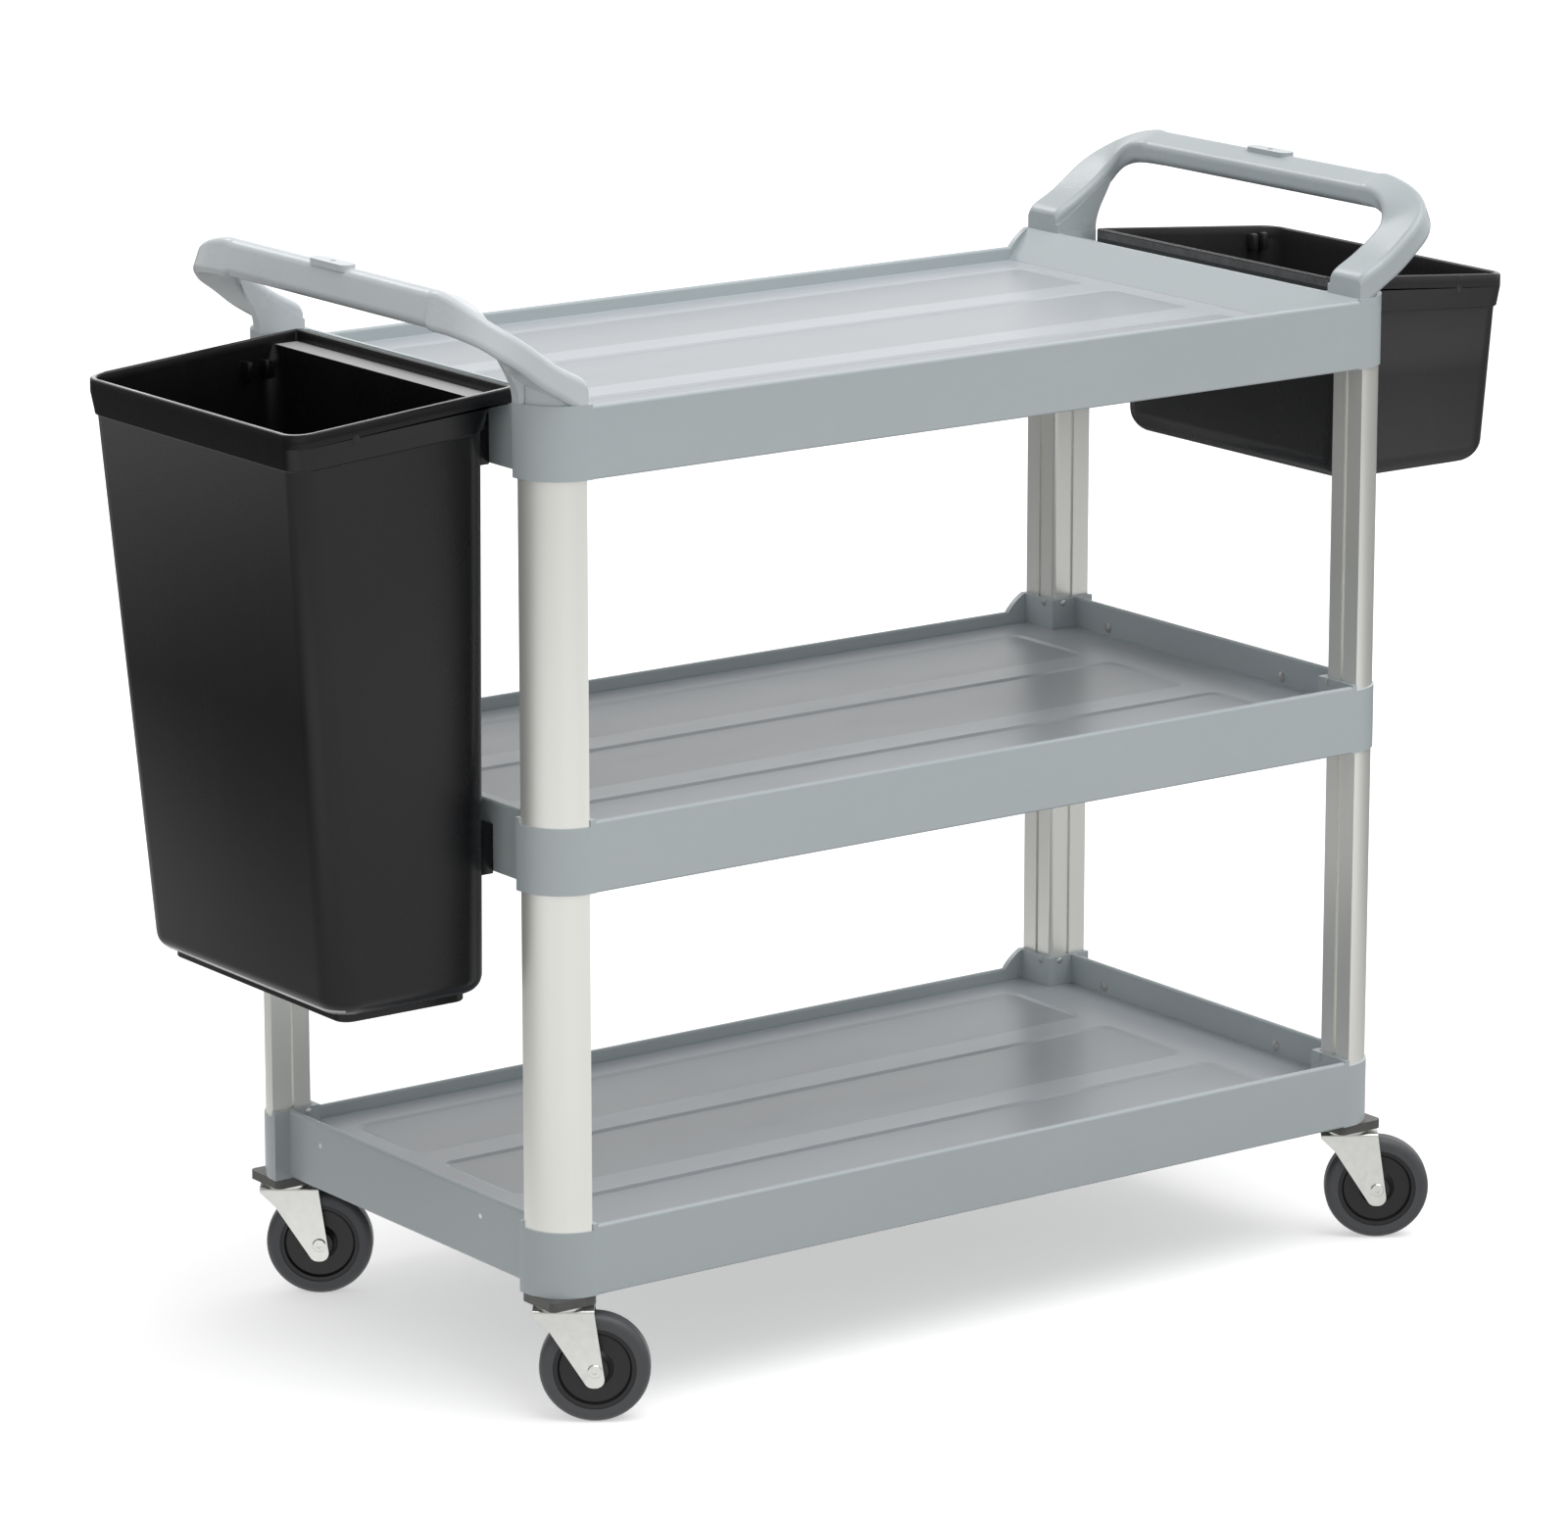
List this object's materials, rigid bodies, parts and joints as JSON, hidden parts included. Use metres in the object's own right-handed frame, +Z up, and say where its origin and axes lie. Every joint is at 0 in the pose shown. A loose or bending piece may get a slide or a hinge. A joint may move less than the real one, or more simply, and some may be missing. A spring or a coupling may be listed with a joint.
{
  "type": "housekeeping cart",
  "caption": "Grey moulded housekeeping cart with tray shelves on aluminium uprights, a tall refuse bin, a utility bin, push handles and swivel casters.",
  "frame": {"origin": "centre of the cart's footprint at floor level, under the middle of the shelves", "axes": "X along the shelves towards the utility bin, Y across them from the front wall to the low back wall, Z up"},
  "size_m": [1.38, 0.565, 1.0235],
  "materials": {
    "grey_moulding": "fine moulded grain, satin",
    "upright_aluminium": "clear anodised, drawn lengthwise",
    "bin_plastic": "fine moulded grain, satin",
    "black_plastic": "smooth moulded",
    "grey_tread": "smooth, non marking",
    "zinc_steel": "bright zinc plated"
  },
  "bodies": {
    "root": {"shelf_bottom": "grey_moulding", "shelf_middle": "grey_moulding", "shelf_top": "grey_moulding", "upright_lower_front_left": "upright_aluminium", "upright_lower_front_right": "upright_aluminium", "upright_lower_back_left": "upright_aluminium", "upright_lower_back_right": "upright_aluminium", "upright_upper_front_left": "upright_aluminium", "upright_upper_front_right": "upright_aluminium", "upright_upper_back_left": "upright_aluminium", "upright_upper_back_right": "upright_aluminium", "socket_screws_bottom": "zinc_steel", "socket_screws_middle": "zinc_steel", "wall_rivets_bottom": "zinc_steel", "wall_rivets_middle": "zinc_steel", "handle_left": "grey_moulding", "handle_right": "grey_moulding", "handle_bolts": "zinc_steel", "caster_pad_front_left": "black_plastic", "caster_pad_front_right": "black_plastic", "caster_pad_back_left": "black_plastic", "caster_pad_back_right": "black_plastic", "caster_stem_front_left": "zinc_steel", "caster_stem_front_right": "zinc_steel", "caster_stem_back_left": "zinc_steel", "caster_stem_back_right": "zinc_steel"},
    "fork_front_left": {"caster_fork_front_left": "zinc_steel", "caster_axle_front_left": "zinc_steel"},
    "wheel_front_left": {"wheel_core_front_left": "black_plastic", "wheel_tread_front_left": "grey_tread"},
    "fork_front_right": {"caster_fork_front_right": "zinc_steel", "caster_axle_front_right": "zinc_steel"},
    "wheel_front_right": {"wheel_core_front_right": "black_plastic", "wheel_tread_front_right": "grey_tread"},
    "fork_back_left": {"caster_fork_back_left": "zinc_steel", "caster_axle_back_left": "zinc_steel"},
    "wheel_back_left": {"wheel_core_back_left": "black_plastic", "wheel_tread_back_left": "grey_tread"},
    "fork_back_right": {"caster_fork_back_right": "zinc_steel", "caster_axle_back_right": "zinc_steel"},
    "wheel_back_right": {"wheel_core_back_right": "black_plastic", "wheel_tread_back_right": "grey_tread"},
    "refuse_bin_body": {"refuse_bin": "bin_plastic"},
    "utility_bin_body": {"utility_bin": "bin_plastic"}
  },
  "joints": [
    {"name": "swivel_front_left", "type": "hinge", "parent": "root", "child": "fork_front_left", "pos_m": [-0.4584, -0.2274, 0.1045], "axis": [0, 0, 1], "continuous": true},
    {"name": "swivel_front_right", "type": "hinge", "parent": "root", "child": "fork_front_right", "pos_m": [0.4584, -0.2274, 0.1045], "axis": [0, 0, 1], "continuous": true},
    {"name": "swivel_back_left", "type": "hinge", "parent": "root", "child": "fork_back_left", "pos_m": [-0.4584, 0.2274, 0.1045], "axis": [0, 0, 1], "continuous": true},
    {"name": "swivel_back_right", "type": "hinge", "parent": "root", "child": "fork_back_right", "pos_m": [0.4584, 0.2274, 0.1045], "axis": [0, 0, 1], "continuous": true},
    {"name": "roll_front_left", "type": "hinge", "parent": "fork_front_left", "child": "wheel_front_left", "pos_m": [-0.43338, -0.2457, 0.05], "axis": [0.5902, 0.8073, 0], "continuous": true},
    {"name": "roll_front_right", "type": "hinge", "parent": "fork_front_right", "child": "wheel_front_right", "pos_m": [0.48343, -0.2457, 0.05], "axis": [0.5902, 0.8073, 0], "continuous": true},
    {"name": "roll_back_left", "type": "hinge", "parent": "fork_back_left", "child": "wheel_back_left", "pos_m": [-0.43338, 0.20911, 0.05], "axis": [0.5902, 0.8073, 0], "continuous": true},
    {"name": "roll_back_right", "type": "hinge", "parent": "fork_back_right", "child": "wheel_back_right", "pos_m": [0.48343, 0.2457, 0.05], "axis": [-0.5902, 0.8073, 0], "continuous": true},
    {"name": "lift_refuse_bin", "type": "slide", "parent": "root", "child": "refuse_bin_body", "axis": [0, 0, 1], "range_m": [0, 0.06]},
    {"name": "lift_utility_bin", "type": "slide", "parent": "root", "child": "utility_bin_body", "axis": [0, 0, 1], "range_m": [0, 0.06]}
  ]
}
